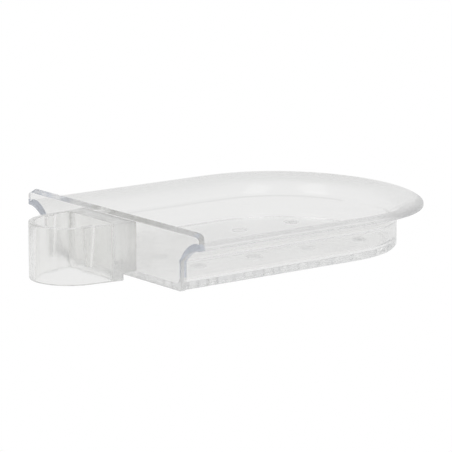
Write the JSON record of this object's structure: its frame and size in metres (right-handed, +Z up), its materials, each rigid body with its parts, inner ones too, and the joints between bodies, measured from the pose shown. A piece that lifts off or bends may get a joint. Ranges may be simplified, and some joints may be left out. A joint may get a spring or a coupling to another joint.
{
  "type": "soap dish",
  "caption": "Clear plastic soap dish for a shower riser rail: a shallow round-nosed tray with a flared rim and drain holes, a back plate and a collar that slides on the rail.",
  "frame": {"origin": "on the axis of the riser rail that the collar slides on, level with the underside of the dish", "axes": "+X from the rail out to the rounded nose of the tray, +Y across the dish, +Z up along the rail"},
  "size_m": [0.1645, 0.1084, 0.0223],
  "materials": {
    "clear_plastic": "clear, polished, faintly blue at the edges",
    "clear_collar_plastic": "clear, polished, faintly warm grey"
  },
  "bodies": {
    "root": {"tray": "clear_plastic", "back_plate": "clear_plastic", "rail_collar": "clear_collar_plastic"}
  },
  "joints": []
}
